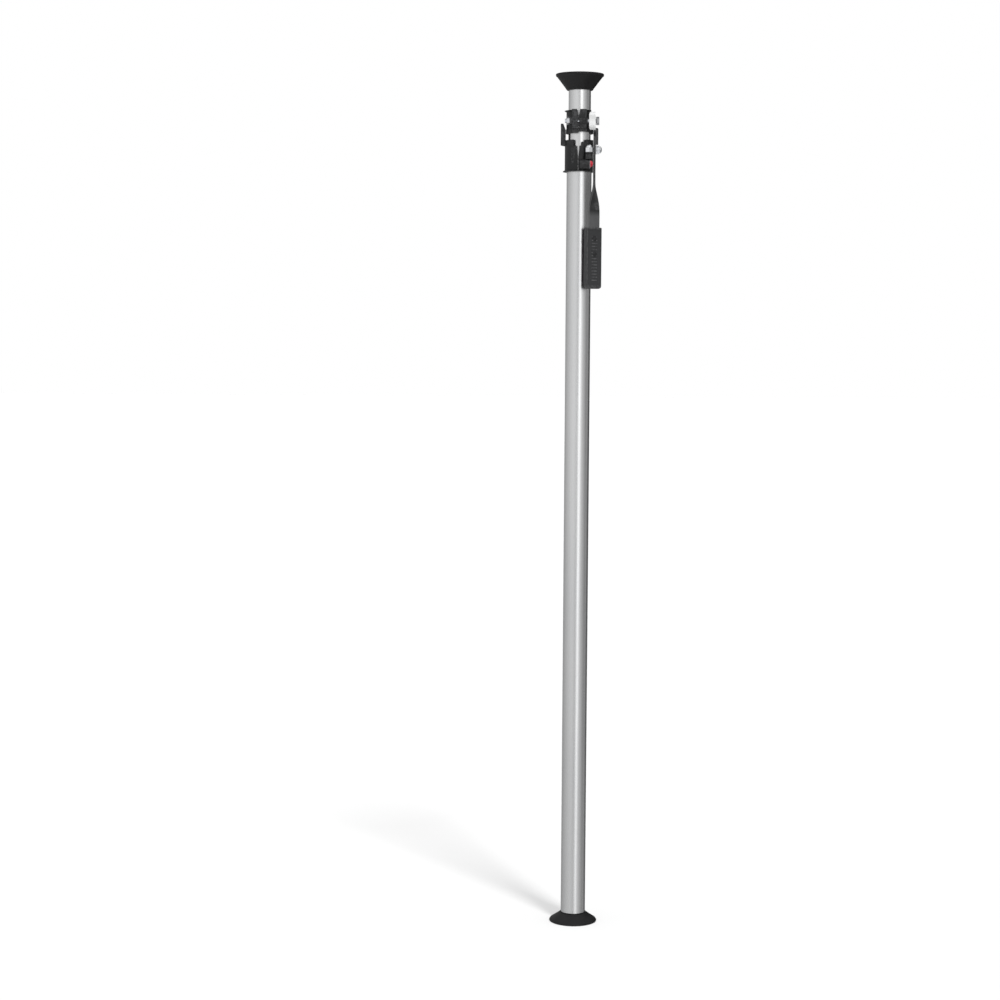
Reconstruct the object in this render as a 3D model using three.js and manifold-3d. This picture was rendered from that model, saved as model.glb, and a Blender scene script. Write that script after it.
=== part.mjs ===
// A floor to ceiling tension pole, in millimetres, +Z up, seen from the front along +Y.
// The origin is on the floor, at the centre of the foot. The lever hangs closed, so the
// upper collar is lifted and the pole is at its tensioned length, with the tubes pushed in.
import * as THREE from 'three';
import { mergeVertices } from 'three/addons/utils/BufferGeometryUtils.js';
import Module from 'manifold-3d';

const wasm = await Module();
wasm.setup();

// Clearances and overruns
const clearance = 0.3;
const slidingGap = 1;
const screwGap = 0.3;
const cutOverrun = 3;

// How finely round shapes are cut
const roundSides = 48;
const smallSides = 20;
const arcStepCount = 4;
const camStepCount = 16;
const strapStepCount = 30;

// Tubes
const lowerTubeDiameter = 45;
const lowerTubeLength = 1391.6;
const tubeWall = 1.5;
const innerTubeRoom = 50.7;
const innerTubeShown = 36;
const innerTubeSeat = 9;

// Foot
const footDiameter = 87.4;
const footHeight = 17.9;
const footFloor = 7.7;
const footRimHeight = 3.8;
const footRimTaper = 1.8;
const footUnderRound = 1;
const footRimSide = 2.2;
const footLip = 1.6;
const footLipHeight = 0.8;
const footRecessDepth = 1;
const footRecessWidth = 6;
const footRecessRadius = 26;
const footPlugHeight = 20;
const footPlugWall = 3;

// Top cup
const cupDiameter = 86.8;
const cupHeight = 29.2;
const cupNeckWall = 3.6;
const cupRimHeight = 4;
const cupRimRound = 1.6;
const cupRimTaper = 0.9;
const cupPlugHeight = 32;
const cupPlugWall = 3;

// Bush and glide between the tubes
const bushFlangeHeight = 2;
const bushSleeveLength = 20;
const bushSleeveWall = 0.4;
const glideFlangeHeight = 6;
const glideSpigotLength = 24;
const glideBoreRadius = 8;

// Lower collar
const collarGrip = 21.5;
const lowerCollarWall = 3.4;
const lowerCollarGuideHeight = 32.4;
const lowerFlangeReach = 3.1;
const lowerFlangeHeight = 3;
const sideFlatDepth = 1.3;
const notchLeft = 10.4;
const notchRight = 4;
const notchStepRight = 11;
const notchDepth = 11;
const notchStepDepth = 4;
const vSlotLeft = 5.3;
const vSlotRight = 0.2;
const vSlotDepth = 21;
const slitWidth = 1;
const slitOffset = 2.2;
const collarScrewDiameter = 5;
const collarScrewLength = 3;
const collarScrewAngle = 0.47;
const collarScrewDrop = 4;

// Left ear of the lower collar
const earReach = 33.7;
const earThickness = 9;
const earHalfDepth = 7;
const earHeight = 38;
const earTipWidth = 4.5;
const earTaperHeight = 11.5;
const earFootDrop = 8.4;
const earFootSlant = 4;

// Lock boss with the button
const lockDepth = 31;
const lockRadius = 8.25;
const lockRise = 12.5;
const lockLeft = 0.5;
const lockLength = 18;
const lockBoreRadius = 6.9;
const lockBoreDepth = 13.4;
const bezelThickness = 0.8;
const buttonRadius = 6.5;
const buttonDome = 5;
const buttonSkirt = 7.6;
const buttonStemRadius = 2.4;
const buttonStemLength = 3.5;
const springWire = 0.9;
const springRadius = 4.6;
const springTurnCount = 3;
const springTurnStepCount = 10;
const springSides = 5;

// Upright stud and cap nut on the lock boss
const lockStudPlace = 17.4;
const pedestalRadius = 6.8;
const pedestalHeight = 10.4;
const pedestalHeadHeight = 2;
const pedestalHeadStep = 1.2;
const lockStudRadius = 3;
const lockStudDepth = 6;
const lockStudLength = 16;
const lockWasherRadius = 7.2;
const lockWasherThickness = 1.4;
const capNutAcross = 12;
const capNutHexHeight = 8;
const capNutHeight = 13.6;
const capNutWall = 2.2;

// Lever pivot
const pivotDrop = 16.4;
const pivotStudRadius = 4;
const pivotStudReach = 14;
const pivotWasherRadius = 8.2;
const pivotWasherThickness = 1.6;
const pivotNutRadius = 7.6;
const pivotNutBody = 4.4;
const pivotNutLength = 9;
const pivotNutGroove = 0.9;
const pivotNutGrooveDepth = 1.1;
const pivotHubRadius = 11;

// Cam plate, pin and lift
const leverThickness = 4.2;
const tensionLift = 11.5;
const leverSweep = 1.745;
const camPinRadius = 2.5;
const camPinGap = 0.4;
const camRim = 6.5;
const camStopReach = 4.6;
const camStopHalfDepth = 6;
const camStopRise = 9.3;
const camStopRound = 2.4;

// Lever strap
const strapWidth = 21;
const strapChamfer = 0.6;
const strapBendStart = 16;
const strapBendEnd = 126;
const strapTwistStart = 58;
const strapTwistEnd = 116;
const strapForward = 34.4;
const gripFacing = 0.47;
const tangLength = 78;

// Grip and rivets
const gripTopDrop = 141;
const gripLength = 109.4;
const gripWidth = 29;
const gripThickness = 16;
const gripSetback = 4.2;
const gripRound = 3.2;
const gripEndRound = 5;
const rivetRadius = 3;
const rivetHeadRadius = 4.6;
const rivetHeadHeight = 0.8;
const rivetShares = [0.25, 0.6];

// Upper collar
const upperCollarWall = 3.4;
const upperCollarHeight = 41.6;
const upperLugHeight = 7.6;
const upperLugHalfDepth = 7;
const upperFrontRise = 2.4;
const leftLugReach = 24.4;
const upperFlangeReach = 3.3;
const upperFlangeHeight = 3;
const upperFlangeRight = 21;
const clampSlit = 0.8;
const clampSlitOffset = 2;
const clampVeeWidth = 6.4;
const clampVeeDepth = 14;
const clampPortRadius = 2;
const clampPortDrop = 1.9;
const clampLowerSlotWidth = 4;
const clampLowerSlotHeight = 5;
const clampLowerSlotRise = 9.6;
const bossLeft = 13.8;
const bossRight = 12.7;
const bossHubRadius = 7;
const bossHubReach = 2.2;
const bossForward = 8.8;
const bossGroove = 0.3;
const bossGrooveWidth = 1.6;

// Clamp stud with its nuts and knob
const clampRise = 20.8;
const clampStudRadius = 4;
const clampStudLeft = 26.4;
const clampStudRight = 34;
const clampWasherRadius = 7.4;
const clampSpacerThickness = 3.6;
const clampWasherThickness = 1.2;
const nutAcross = 13;
const nutThickness = 4.6;
const stopNutThickness = 4.6;
const knobInner = 17.2;
const knobThickness = 11.6;
const knobHeight = 32;
const knobDepth = 16;
const knobWaist = 1.6;
const knobFaceRadius = 13.2;
const knobRelief = 1.9;
const knobRibCount = 4;
const knobRibWidth = 1.1;
const knobRibDepth = 0.8;

// Places that follow from the sizes above
const lowerTubeRadius = lowerTubeDiameter / 2;
const lowerBoreRadius = lowerTubeRadius - tubeWall;
const innerTubeRadius = lowerBoreRadius - slidingGap;
const innerBoreRadius = innerTubeRadius - tubeWall;
const lowerTubeBottom = footFloor + clearance;
const lowerTubeTop = lowerTubeBottom + lowerTubeLength;
const collarRadius = lowerTubeRadius + clearance + lowerCollarWall;
const collarBottom = lowerTubeTop - collarGrip;
const collarSeat = lowerTubeTop + clearance + bushFlangeHeight + clearance;
const collarTop = collarSeat + lowerCollarGuideHeight;
const sideFlat = collarRadius - sideFlatDepth;
const leverInner = sideFlat + clearance;
const leverOuter = leverInner + leverThickness;
const pivotHeight = collarTop - pivotDrop;
const upperBottom = collarTop + tensionLift + clearance;
const upperTop = upperBottom + upperCollarHeight;
const upperRadius = innerTubeRadius + clearance + upperCollarWall;
const camPinHeight = upperBottom + upperLugHeight / 2;
const camStart = camPinHeight - pivotHeight;
const camFall = tensionLift / leverSweep;
const slotHalf = camPinRadius + camPinGap;
const clampHeight = upperBottom + clampRise;
const clampDepth = innerTubeRadius + clearance + clampStudRadius + upperCollarWall;
const bossFront = innerTubeRadius + clearance + upperCollarWall + bossForward;
const cupNeckHeight = upperTop + innerTubeShown;
const cupTop = cupNeckHeight + cupHeight;
const innerTubeTop = cupNeckHeight + innerTubeSeat;
const innerTubeBottom = lowerTubeBottom + footPlugHeight + innerTubeRoom + glideFlangeHeight
  + clearance;
const lockHeight = collarBottom + lockRise;
const lockRight = lockLeft + lockLength;
const bezelLeft = lockRight + clearance;
const bezelRight = bezelLeft + bezelThickness;
const buttonBase = bezelRight + clearance;
const pedestalTop = lockHeight + lockRadius + clearance + pedestalHeight;

// Materials, with the finishes of the real piece
const finish = (color, roughness, metalness) =>
  new THREE.MeshStandardMaterial({ color, roughness, metalness });
const aluminium = finish(0xc8c9cc, 0.38, 0.9);
const rubber = finish(0x1b1b1d, 0.8, 0);
const blackCasting = finish(0x202124, 0.5, 0.1);
const blackSteel = finish(0x26282b, 0.4, 0.6);
const zinc = finish(0xd4d7dc, 0.25, 1);
const greyMoulding = finish(0xe4e5e6, 0.5, 0);
const redPlastic = finish(0xc62a3c, 0.35, 0);
const nylon = finish(0xe9e6dc, 0.6, 0);

// Solids

// A closed geometry as a solid, turned right side out where its faces point inwards.
function solid(geometry) {
  const bare = geometry.clone();
  bare.deleteAttribute('normal');
  bare.deleteAttribute('uv');
  const merged = mergeVertices(bare);
  const places = merged.attributes.position;
  const order = Uint32Array.from(merged.index.array);
  const corners = [new THREE.Vector3(), new THREE.Vector3(), new THREE.Vector3()];
  let volume = 0;
  for (let i = 0; i < order.length; i += 3) {
    corners.forEach((corner, k) => corner.fromBufferAttribute(places, order[i + k]));
    volume += corners[0].dot(corners[1].clone().cross(corners[2]));
  }
  if (volume < 0) {
    for (let i = 0; i < order.length; i += 3) {
      [order[i + 1], order[i + 2]] = [order[i + 2], order[i + 1]];
    }
  }
  const vertProperties = Float32Array.from(places.array);
  return new wasm.Manifold(new wasm.Mesh({ numProp: 3, vertProperties, triVerts: order }));
}

// A revolved solid on the Z axis. A profile is a list of [radius, height].
function turned(profile, sides = roundSides) {
  const points = profile.map(([radius, height]) => new THREE.Vector2(radius, height));
  return solid(new THREE.LatheGeometry(points, sides).rotateX(Math.PI / 2));
}

// A ring or sleeve on the Z axis.
function ring(inner, outer, bottom, top, sides = roundSides) {
  const profile = [[inner, bottom], [outer, bottom], [outer, top], [inner, top], [inner, bottom]];
  return turned(profile, sides);
}

// A cylinder on the Z axis.
function disc(radius, bottom, top, sides = roundSides) {
  return turned([[0, bottom], [radius, bottom], [radius, top], [0, top]], sides);
}

// A box between two corners.
function block(low, high) {
  const size = high.map((value, k) => value - low[k]);
  const middle = high.map((value, k) => (value + low[k]) / 2);
  return solid(new THREE.BoxGeometry(...size).translate(...middle));
}

// An outline extruded along Z between two heights.
function extruded(outline, bottom, top) {
  const shape = new THREE.Shape(outline.map(([a, b]) => new THREE.Vector2(a, b)));
  const depth = top - bottom;
  const geometry = new THREE.ExtrudeGeometry(shape, { depth, bevelEnabled: false });
  return solid(geometry.translate(0, 0, bottom));
}

// Turns a solid made along Z so that it lies along X: its own X becomes Y and its Y becomes Z.
const alongX = (body) => body.rotate([0, 90, 0]).rotate([90, 0, 0]);

// Turns a solid made along Z so that it lies along Y: its own X stays and its Y becomes Z.
const alongY = (body) => body.rotate([90, 0, 0]).scale([1, -1, 1]);

// A cylinder along X at a depth and height.
function shaft(radius, left, right, depth, height, sides = smallSides) {
  return alongX(disc(radius, left, right, sides)).translate([0, depth, height]);
}

// A ring along X at a depth and height.
function washer(inner, outer, left, right, depth, height, sides = smallSides) {
  return alongX(ring(inner, outer, left, right, sides)).translate([0, depth, height]);
}

// Points on an arc, from one angle to another.
function arc(centreA, centreB, radius, from, to, stepCount = arcStepCount) {
  return Array.from({ length: stepCount + 1 }, (_, i) => {
    const angle = from + (to - from) * i / stepCount;
    return [centreA + radius * Math.cos(angle), centreB + radius * Math.sin(angle)];
  });
}

const quarter = Math.PI / 2;

// A rectangle with round corners, centred on its own axes.
function roundedRectangle(width, height, radius) {
  const a = width / 2 - radius;
  const b = height / 2 - radius;
  return [
    ...arc(a, b, radius, 0, quarter),
    ...arc(-a, b, radius, quarter, 2 * quarter),
    ...arc(-a, -b, radius, 2 * quarter, 3 * quarter),
    ...arc(a, -b, radius, 3 * quarter, 4 * quarter),
  ];
}

// A hexagon of a size across its flats.
function hexagon(across) {
  const reach = across / Math.sqrt(3);
  return Array.from({ length: 6 }, (_, i) => {
    const angle = i * Math.PI / 3 + Math.PI / 6;
    return [reach * Math.cos(angle), reach * Math.sin(angle)];
  });
}

// The group

const pole = new THREE.Group();

function place(name, body, material, group = pole) {
  const { vertProperties, triVerts } = body.getMesh();
  const geometry = new THREE.BufferGeometry();
  geometry.setAttribute('position', new THREE.BufferAttribute(vertProperties, 3));
  geometry.setIndex(new THREE.BufferAttribute(triVerts, 1));
  geometry.computeVertexNormals();
  const mesh = new THREE.Mesh(geometry, material);
  mesh.name = name;
  group.add(mesh);
}

// The two tubes, and the nylon pieces in and between their ends
function makeTubes() {
  const lower = ring(lowerBoreRadius, lowerTubeRadius, lowerTubeBottom, lowerTubeTop);
  const inner = ring(innerBoreRadius, innerTubeRadius, innerTubeBottom, innerTubeTop);
  place('lower_tube', lower, aluminium);
  place('inner_tube', inner, aluminium);

  const flangeBottom = lowerTubeTop + clearance;
  const flangeTop = flangeBottom + bushFlangeHeight;
  const bushBore = innerTubeRadius + clearance;
  const bushSleeve = bushBore + bushSleeveWall;
  place('tube_bush', turned([
    [bushBore, flangeBottom - bushSleeveLength], [bushSleeve, flangeBottom - bushSleeveLength],
    [bushSleeve, flangeBottom], [lowerTubeRadius - clearance, flangeBottom],
    [lowerTubeRadius - clearance, flangeTop], [bushBore, flangeTop],
    [bushBore, flangeBottom - bushSleeveLength],
  ]), nylon);

  const glideTop = innerTubeBottom - clearance;
  const spigot = innerBoreRadius - clearance;
  place('inner_tube_glide', turned([
    [glideBoreRadius, glideTop - glideFlangeHeight],
    [lowerBoreRadius - clearance, glideTop - glideFlangeHeight],
    [lowerBoreRadius - clearance, glideTop], [spigot, glideTop],
    [spigot, glideTop + glideSpigotLength], [glideBoreRadius, glideTop + glideSpigotLength],
    [glideBoreRadius, glideTop - glideFlangeHeight],
  ]), nylon);
}

// The rubber foot, with its socket, and the plug that stiffens the tube inside it
function makeFoot() {
  const radius = footDiameter / 2;
  const socket = lowerTubeRadius + clearance;
  const shoulder = lowerTubeRadius + footLip;
  const under = arc(radius - footUnderRound, footUnderRound, footUnderRound, -quarter, 0);
  const foot = turned([
    [0, 0], ...under,
    [radius, footRimSide], [radius - footRimTaper, footRimHeight],
    [shoulder, footHeight - footLipHeight], [shoulder, footHeight],
    [socket, footHeight], [socket, footFloor], [0, footFloor],
  ]);
  const recess = ring(
    footRecessRadius, footRecessRadius + footRecessWidth, -cutOverrun, footRecessDepth,
  );
  place('foot', foot.subtract(recess), rubber);

  const plugRadius = lowerBoreRadius - clearance;
  const plugBottom = lowerTubeBottom;
  place('foot_plug', turned([
    [0, plugBottom], [plugRadius, plugBottom], [plugRadius, plugBottom + footPlugHeight],
    [plugRadius - footPlugWall, plugBottom + footPlugHeight],
    [plugRadius - footPlugWall, plugBottom + footPlugWall], [0, plugBottom + footPlugWall],
  ]), nylon);
}

// The rubber cup that presses on the ceiling, and the plug in the tube under it
function makeTopCup() {
  const radius = cupDiameter / 2;
  const socket = innerTubeRadius + clearance;
  const neck = innerTubeRadius + cupNeckWall;
  const round = arc(radius - cupRimRound, cupTop - cupRimRound, cupRimRound, 0, quarter);
  place('top_cup', turned([
    [0, innerTubeTop + clearance], [socket, innerTubeTop + clearance], [socket, cupNeckHeight],
    [neck, cupNeckHeight], [radius - cupRimTaper, cupTop - cupRimHeight], ...round,
    [0, cupTop],
  ]), rubber);

  const plugRadius = innerBoreRadius - clearance;
  const plugBottom = innerTubeTop - cupPlugHeight;
  place('cup_plug', turned([
    [plugRadius - cupPlugWall, plugBottom], [plugRadius, plugBottom], [plugRadius, innerTubeTop],
    [0, innerTubeTop], [0, innerTubeTop - cupPlugWall],
    [plugRadius - cupPlugWall, innerTubeTop - cupPlugWall],
    [plugRadius - cupPlugWall, plugBottom],
  ]), nylon);
}

// Where the front collar screw sits: its angle is measured from the front towards the left
const screwHeight = lowerTubeTop - collarScrewDrop;
const screwOuter = collarRadius;
const screwInner = lowerTubeRadius + clearance;

function radialPin(radius, from, to, angle, height) {
  const degrees = THREE.MathUtils.radToDeg(angle);
  return alongY(disc(radius, -to, -from, smallSides)).rotate([0, 0, -degrees])
    .translate([0, 0, height]);
}

// The lower collar: a sleeve on the lower tube with a guide above it, a bottom flange,
// a notch and a V slot at the front, an ear on the left and the lock boss at the front right
function makeLowerCollar() {
  const bore = lowerTubeRadius + clearance;
  const guide = innerTubeRadius + 2 * clearance;
  const flange = collarRadius + lowerFlangeReach;
  let collar = turned([
    [bore, collarBottom], [flange, collarBottom], [flange, collarBottom + lowerFlangeHeight / 2],
    [collarRadius, collarBottom + lowerFlangeHeight], [collarRadius, collarTop],
    [guide, collarTop], [guide, collarSeat], [bore, collarSeat], [bore, collarBottom],
  ]);

  const earInner = earReach - earThickness;
  const earFoot = collarTop - earFootDrop;
  const earTop = earFoot + earHeight;
  const earRoot = guide + clearance;
  const ear = alongY(extruded([
    [-earRoot, earFoot - earFootSlant / 2], [-earRoot, collarTop], [-earInner, collarTop],
    [-earInner, earTop - earTaperHeight], [-(earReach - earTipWidth), earTop],
    [-earReach, earTop], [-earReach, earFoot], [-earInner, earFoot - earFootSlant / 2],
  ], -earHalfDepth, earHalfDepth));
  collar = collar.add(ear);

  const boss = shaft(lockRadius, lockLeft, lockRight, -lockDepth, lockHeight, roundSides);
  const web = block(
    [lockLeft, -lockDepth, lockHeight - lockRadius / 2],
    [lockRight, -lowerTubeRadius / 2, lockHeight + lockRadius],
  );
  collar = collar.add(boss).add(web);

  const pedestalBottom = lockHeight + lockRadius + clearance;
  const pedestalFull = turned([
    [0, pedestalBottom], [pedestalRadius, pedestalBottom],
    [pedestalRadius, pedestalTop - pedestalHeadHeight],
    [pedestalRadius - pedestalHeadStep, pedestalTop - pedestalHeadHeight],
    [pedestalRadius - pedestalHeadStep, pedestalTop], [0, pedestalTop],
  ], smallSides);
  const pedestalWeb = block(
    [lockStudPlace - pedestalRadius, -lockDepth, lockHeight],
    [lockRight, -lowerTubeRadius / 2, pedestalTop - pedestalHeadHeight],
  );
  collar = collar.add(pedestalFull.translate([lockStudPlace, -lockDepth, 0])).add(pedestalWeb);

  const frontDepth = -(flange + cutOverrun);
  const notch = block(
    [-notchLeft, frontDepth, collarTop - notchDepth],
    [notchRight, 0, collarTop + cutOverrun],
  );
  const notchStep = block(
    [0, frontDepth, collarTop - notchStepDepth], [notchStepRight, 0, collarTop + cutOverrun],
  );
  const slitMiddle = -slitOffset;
  const veeTop = collarTop - notchDepth + clearance;
  const vee = alongY(extruded([
    [-vSlotLeft, veeTop], [slitMiddle - slitWidth / 2, veeTop - vSlotDepth],
    [slitMiddle + slitWidth / 2, veeTop - vSlotDepth], [vSlotRight, veeTop],
  ], frontDepth, 0));
  const slit = block(
    [slitMiddle - slitWidth / 2, frontDepth, collarBottom - cutOverrun],
    [slitMiddle + slitWidth / 2, 0, veeTop],
  );
  const shell = disc(guide, collarBottom - cutOverrun, collarTop + cutOverrun);
  const tubeRoom = disc(bore, collarBottom - cutOverrun, collarSeat);
  collar = collar.subtract(notch).subtract(notchStep).subtract(vee).subtract(slit);
  collar = collar.subtract(shell).subtract(tubeRoom);

  const beyond = flange + lockDepth;
  const flat = block(
    [sideFlat, -beyond, collarBottom - cutOverrun], [beyond, beyond, collarTop + cutOverrun],
  );
  collar = collar.subtract(flat);

  const lockBore = shaft(
    lockBoreRadius, lockRight - lockBoreDepth, lockRight + cutOverrun, -lockDepth, lockHeight,
  );
  const pivotHole = shaft(pivotStudRadius + screwGap, 0, beyond, 0, pivotHeight);
  const studHole = disc(
    lockStudRadius + screwGap, pedestalTop - lockStudDepth, pedestalTop + cutOverrun, smallSides,
  ).translate([lockStudPlace, -lockDepth, 0]);
  collar = collar.subtract(lockBore).subtract(pivotHole).subtract(studHole);

  for (const angle of [collarScrewAngle, collarScrewAngle + Math.PI]) {
    const radius = collarScrewDiameter / 2 + screwGap;
    collar = collar.subtract(radialPin(radius, bore / 2, flange, angle, screwHeight));
  }
  place('lower_collar', collar, blackCasting);
}

// The two grub screws that hold the lower collar on its tube
function makeCollarScrews() {
  const names = ['collar_screw_front', 'collar_screw_rear'];
  names.forEach((name, i) => {
    const angle = collarScrewAngle + i * Math.PI;
    const from = screwInner;
    const body = radialPin(
      collarScrewDiameter / 2, from, from + collarScrewLength, angle, screwHeight,
    );
    place(name, body, blackSteel);
  });
}

// The sprung release button in the lock boss
function makeButton() {
  const at = [0, -lockDepth, lockHeight];
  const bezel = alongX(ring(
    buttonRadius + clearance, lockRadius, bezelLeft, bezelRight, roundSides,
  )).translate(at);
  place('button_bezel', bezel, zinc);

  const domeBase = buttonBase;
  const skirtLeft = domeBase - buttonSkirt;
  const ballRadius = (buttonRadius ** 2 + buttonDome ** 2) / (2 * buttonDome);
  const ballAngle = Math.asin(buttonRadius / ballRadius);
  const dome = arc(0, domeBase + buttonDome - ballRadius, ballRadius, quarter - ballAngle, quarter);
  const button = turned([
    [0, skirtLeft - buttonStemLength], [buttonStemRadius, skirtLeft - buttonStemLength],
    [buttonStemRadius, skirtLeft], [buttonRadius, skirtLeft],
    ...dome.slice(0, -1), [0, domeBase + buttonDome],
  ], smallSides);
  place('release_button', alongX(button).translate(at), redPlastic);

  const springLeft = lockRight - lockBoreDepth + clearance + springWire / 2;
  const springRight = skirtLeft - clearance - springWire / 2;
  place('button_spring', coil(springLeft, springRight).translate(at), zinc);
}

// A coil spring along X, as one unbroken tube with closed ends
function coil(left, right) {
  const stepCount = springTurnCount * springTurnStepCount;
  const positions = [];
  const index = [];
  const climb = (right - left) / stepCount;
  for (let i = 0; i <= stepCount; i += 1) {
    const turn = 2 * Math.PI * i / springTurnStepCount;
    for (let k = 0; k < springSides; k += 1) {
      const side = 2 * Math.PI * k / springSides;
      const reach = springRadius + springWire / 2 * Math.cos(side);
      positions.push(
        left + climb * i + springWire / 2 * Math.sin(side),
        reach * Math.cos(turn), reach * Math.sin(turn),
      );
    }
  }
  for (let i = 0; i < stepCount; i += 1) {
    for (let k = 0; k < springSides; k += 1) {
      const a = i * springSides + k;
      const b = i * springSides + (k + 1) % springSides;
      index.push(a, b, a + springSides, b, b + springSides, a + springSides);
    }
  }
  const last = stepCount * springSides;
  for (let k = 1; k < springSides - 1; k += 1) {
    index.push(0, k + 1, k);
    index.push(last, last + k, last + k + 1);
  }
  return solid(looseGeometry(positions, index));
}

function looseGeometry(positions, index) {
  const geometry = new THREE.BufferGeometry();
  geometry.setAttribute('position', new THREE.Float32BufferAttribute(positions, 3));
  geometry.setIndex(index);
  return geometry;
}

// The upright stud, washer and cap nut on the lock boss
function makeLockFasteners() {
  const studBottom = pedestalTop - lockStudDepth + clearance;
  const studTop = studBottom + lockStudLength;
  const washerBottom = pedestalTop + clearance;
  const washerTop = washerBottom + lockWasherThickness;
  const nutBottom = washerTop + clearance;
  const nutTop = nutBottom + capNutHeight;
  const bore = lockStudRadius + screwGap;
  const at = [lockStudPlace, -lockDepth, 0];
  place('lock_stud', disc(lockStudRadius, studBottom, studTop, smallSides).translate(at), zinc);
  const flat = ring(bore, lockWasherRadius, washerBottom, washerTop, smallSides);
  place('lock_washer', flat.translate(at), blackSteel);

  const domeRadius = capNutAcross / 2 - clearance;
  const crown = capNutHeight - capNutHexHeight;
  const domeArc = arc(0, 0, 1, 0, quarter, 2 * arcStepCount).slice(0, -1)
    .map(([a, b]) => [domeRadius * a, nutBottom + capNutHexHeight + crown * b]);
  const dome = turned([[0, nutBottom + capNutHexHeight / 2],
    [domeRadius, nutBottom + capNutHexHeight / 2], ...domeArc, [0, nutTop]], smallSides);
  const hex = extruded(hexagon(capNutAcross), nutBottom, nutBottom + capNutHexHeight);
  const hole = disc(bore, nutBottom - cutOverrun, nutTop - capNutWall, smallSides);
  place('cap_nut', hex.add(dome).subtract(hole).translate(at), zinc);
}

// The stud, washer and domed nut on which the lever turns
function makePivot() {
  const studLeft = innerTubeRadius + 2 * clearance + screwGap;
  const studRight = studLeft + pivotStudReach;
  const washerLeft = leverOuter + clearance;
  const washerRight = washerLeft + pivotWasherThickness;
  const nutLeft = washerRight + clearance;
  const nutRight = nutLeft + pivotNutLength;
  const bore = pivotStudRadius + screwGap;
  place('pivot_stud', shaft(pivotStudRadius, studLeft, studRight, 0, pivotHeight), zinc);
  place('pivot_washer', washer(
    bore, pivotWasherRadius, washerLeft, washerRight, 0, pivotHeight,
  ), zinc);

  const bodyRight = nutLeft + pivotNutBody;
  const neck = pivotNutRadius - pivotNutGrooveDepth;
  const capLeft = bodyRight + pivotNutGroove;
  const cap = arc(0, 0, 1, 0, quarter, arcStepCount).slice(0, -1)
    .map(([a, b]) => [neck * a, capLeft + (nutRight - capLeft) * b]);
  const nut = turned([
    [0, nutLeft], [pivotNutRadius, nutLeft], [pivotNutRadius, bodyRight],
    [neck - pivotNutGrooveDepth, bodyRight], [neck - pivotNutGrooveDepth, capLeft],
    ...cap, [0, nutRight],
  ], smallSides);
  const hole = disc(bore, nutLeft - cutOverrun, studRight + clearance, smallSides);
  place('pivot_nut', alongX(nut.subtract(hole)).translate([0, 0, pivotHeight]), zinc);
}

// A point of the cam track, at an angle from straight up towards the front. The track falls
// at a steady rate, so the collar's lift follows the lever's angle at a constant ratio.
function camPoint(angle, offset = 0) {
  const radius = camStart - camFall * angle + offset;
  return [-radius * Math.sin(angle), radius * Math.cos(angle)];
}

function camSector(inner, outer) {
  const steps = Array.from({ length: camStepCount + 1 }, (_, i) => leverSweep * i / camStepCount);
  const outside = steps.map((angle) => camPoint(angle, outer));
  const inside = inner === null
    ? [[0, 0]] : steps.map((angle) => camPoint(angle, inner)).reverse();
  return [...outside, ...inside];
}

// A solid in the lever's plane, from an outline about the pivot
function plate(outline, left = leverInner, right = leverOuter) {
  return alongX(extruded(outline, left, right)).translate([0, 0, pivotHeight]);
}

function plateDisc(radius, angle, left = leverInner, right = leverOuter) {
  const [depth, rise] = camPoint(angle);
  return shaft(radius, left, right, depth, pivotHeight + rise, smallSides);
}

const smooth = (value) => {
  const t = Math.min(1, Math.max(0, value));
  return t * t * (3 - 2 * t);
};

// The strap's middle and its width direction, at a distance below the pivot
function strapAt(drop) {
  const bend = smooth((drop - strapBendStart) / (strapBendEnd - strapBendStart));
  const twist = smooth((drop - strapTwistStart) / (strapTwistEnd - strapTwistStart));
  const across = quarter + (gripFacing - quarter) * twist;
  return { x: leverInner + leverThickness / 2, y: -strapForward * bend, z: pivotHeight - drop, across };
}

// The strap from the pivot to the end of the tang, as one loft of chamfered sections
function strap(width, thickness, fromDrop, toDrop) {
  const a = width / 2;
  const b = thickness / 2;
  const c = Math.min(strapChamfer, b / 2);
  const section = [
    [a, -b + c], [a, b - c], [a - c, b], [-a + c, b], [-a, b - c], [-a, -b + c], [-a + c, -b],
    [a - c, -b],
  ];
  const positions = [];
  const index = [];
  for (let i = 0; i <= strapStepCount; i += 1) {
    const { x, y, z, across } = strapAt(fromDrop + (toDrop - fromDrop) * i / strapStepCount);
    for (const [u, v] of section) {
      positions.push(
        x + u * Math.cos(across) + v * Math.sin(across),
        y + u * Math.sin(across) - v * Math.cos(across), z,
      );
    }
  }
  const count = section.length;
  for (let i = 0; i < strapStepCount; i += 1) {
    for (let k = 0; k < count; k += 1) {
      const p = i * count + k;
      const q = i * count + (k + 1) % count;
      index.push(p, q, p + count, q, q + count, p + count);
    }
  }
  const last = strapStepCount * count;
  for (let k = 1; k < count - 1; k += 1) {
    index.push(0, k + 1, k);
    index.push(last, last + k, last + k + 1);
  }
  return solid(looseGeometry(positions, index));
}

const gripTop = pivotHeight - gripTopDrop;
const gripPlace = strapAt(gripTopDrop);
const gripTurn = THREE.MathUtils.radToDeg(gripFacing);
const tangEnd = gripTopDrop + tangLength;
const toGrip = (body) => body.rotate([0, 0, gripTurn]).translate([gripPlace.x, gripPlace.y, 0]);

// The rivets' own heights in the grip
const rivetHeights = rivetShares.map((share) => gripTop - tangLength * share);

// A cylinder across the grip's thickness
function acrossGrip(radius, from, to, height) {
  return toGrip(alongY(disc(radius, from, to, smallSides)).translate([0, 0, height]));
}

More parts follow.
